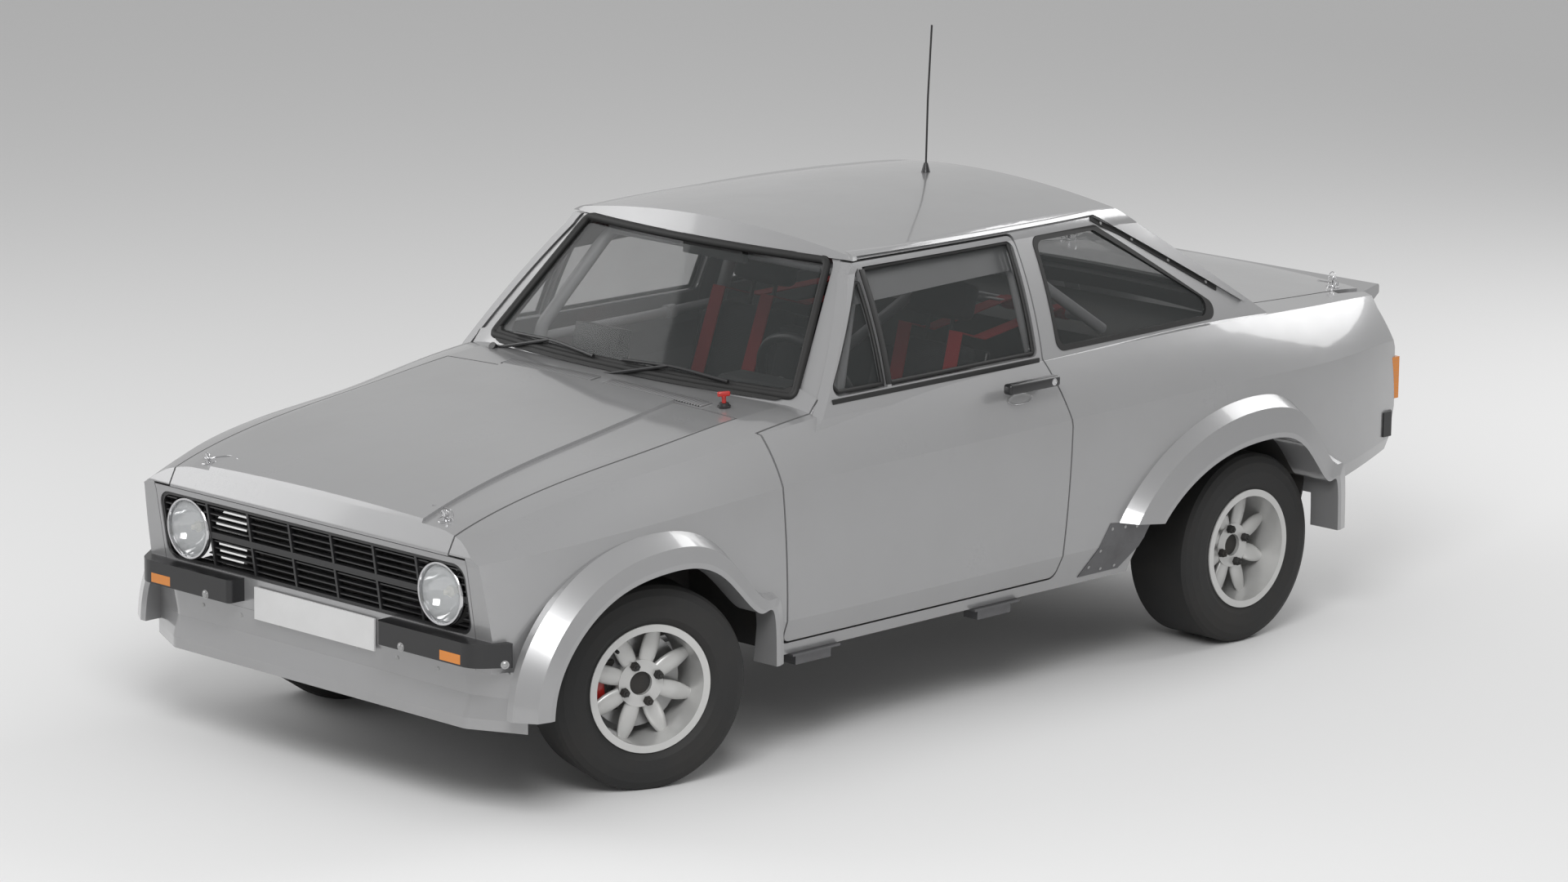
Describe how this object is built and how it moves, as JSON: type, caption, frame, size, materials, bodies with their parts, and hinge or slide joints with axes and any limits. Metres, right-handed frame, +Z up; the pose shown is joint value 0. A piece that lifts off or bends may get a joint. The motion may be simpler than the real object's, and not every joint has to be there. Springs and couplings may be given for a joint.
{
  "type": "rally car",
  "caption": "compact two-door saloon in rally trim: flared arches, bull-nosed slatted front, half bumpers, roll cage, slick tyres on petal-spoked alloy wheels, upturned boot edge",
  "frame": {"origin": "centre of the bounding box in plan, at the ground under the tyres", "axes": "-Y forwards, +X to the car's left, +Z up"},
  "size_m": [1.692, 3.8783, 1.8364],
  "materials": {
    "paint": "gloss",
    "black": "matte",
    "under": "matte",
    "glass": "gloss",
    "rubber": "matte",
    "tyre": "matte",
    "rim": "gloss",
    "lens": "gloss",
    "amber": "gloss",
    "redlens": "gloss",
    "plastic": "matte",
    "cage": "satin",
    "seat": "matte",
    "belt": "matte",
    "steel": "satin",
    "iron": "matte",
    "plate": "matte"
  },
  "bodies": {
    "car": {"body_shell": "paint", "floor_pan": "under", "inner_wing_left": "under", "inner_wing_right": "under", "wing_left": "paint", "wing_right": "paint", "front_panel": "paint", "air_dam": "paint", "grille": "plastic", "headlamps": "lens", "front_bumpers": "plastic", "front_indicators": "amber", "front_plate": "plate", "rear_bumpers": "plastic", "tail_lamps": "redlens", "windscreen": "glass", "rear_window": "glass", "quarter_windows": "glass", "window_seals": "rubber", "stone_plates": "black", "jack_brackets": "steel", "aerial": "plastic", "wipers": "plastic", "dashboard": "plastic", "seat_left": "seat", "seat_right": "seat", "harnesses": "belt", "roll_cage": "cage", "interior_mirror": "plastic", "engine": "iron", "driveline": "iron", "exhaust": "steel", "rear_axle": "iron", "fuel_tank": "steel", "front_subframe": "iron"},
    "door_left": {"door_left": "paint", "door_glass_left": "glass"},
    "door_right": {"door_right": "paint", "door_glass_right": "glass"},
    "bonnet": {"bonnet": "paint"},
    "boot_lid": {"boot_lid": "paint"},
    "steering_wheel": {"steering_wheel": "plastic"},
    "knuckle_left": {"knuckle_left": "iron"},
    "knuckle_right": {"knuckle_right": "iron"},
    "wheel_front_left": {"rim_front_left": "rim", "tyre_front_left": "tyre", "disc_left": "steel"},
    "wheel_front_right": {"rim_front_right": "rim", "tyre_front_right": "tyre", "disc_right": "steel"},
    "wheel_rear_left": {"rim_rear_left": "rim", "tyre_rear_left": "tyre"},
    "wheel_rear_right": {"rim_rear_right": "rim", "tyre_rear_right": "tyre"}
  },
  "joints": [
    {"name": "steer_left", "type": "hinge", "parent": "car", "child": "knuckle_left", "pos_m": [0.56, -1.2625, 0.286], "axis": [-0.2504, 0, 0.9681], "range_deg": [-12, 52]},
    {"name": "wheel_front_left", "type": "hinge", "parent": "knuckle_left", "child": "wheel_front_left", "pos_m": [0.56, -1.2625, 0.286], "axis": [0.9435, -0.3311, -0.0146], "continuous": true},
    {"name": "wheel_rear_left", "type": "hinge", "parent": "car", "child": "wheel_rear_left", "pos_m": [0.775, 1.1245, 0.286], "axis": [1, 0, 0], "continuous": true},
    {"name": "door_left", "type": "hinge", "parent": "car", "child": "door_left", "pos_m": [0.79, -0.8955, 0.6], "axis": [0, 0, -1], "range_deg": [0, 65]},
    {"name": "steer_right", "type": "hinge", "parent": "car", "child": "knuckle_right", "pos_m": [-0.56, -1.2625, 0.286], "axis": [0.2504, 0, 0.9681], "range_deg": [-12, 52]},
    {"name": "wheel_front_right", "type": "hinge", "parent": "knuckle_right", "child": "wheel_front_right", "pos_m": [-0.56, -1.2625, 0.286], "axis": [0.9435, -0.3311, 0.0146], "continuous": true},
    {"name": "wheel_rear_right", "type": "hinge", "parent": "car", "child": "wheel_rear_right", "pos_m": [-0.775, 1.1245, 0.286], "axis": [1, 0, 0], "continuous": true},
    {"name": "door_right", "type": "hinge", "parent": "car", "child": "door_right", "pos_m": [-0.79, -0.8955, 0.6], "axis": [0, 0, 1], "range_deg": [0, 65]},
    {"name": "bonnet", "type": "hinge", "parent": "car", "child": "bonnet", "pos_m": [0, -0.8645, 0.97], "axis": [-1, 0, 0], "range_deg": [0, 60]},
    {"name": "boot_lid", "type": "hinge", "parent": "car", "child": "boot_lid", "pos_m": [0, 1.3195, 1], "axis": [1, 0, 0], "range_deg": [0, 70]},
    {"name": "steering_wheel", "type": "hinge", "parent": "car", "child": "steering_wheel", "pos_m": [0.37, -0.3575, 0.918], "axis": [0, 0.9135, 0.4067], "range_deg": [-170, 710]}
  ],
  "couplings": [
    {"joint": "steer_right", "follows": "steer_left", "ratio": 1},
    {"joint": "steering_wheel", "follows": "steer_left", "ratio": 13.5}
  ]
}
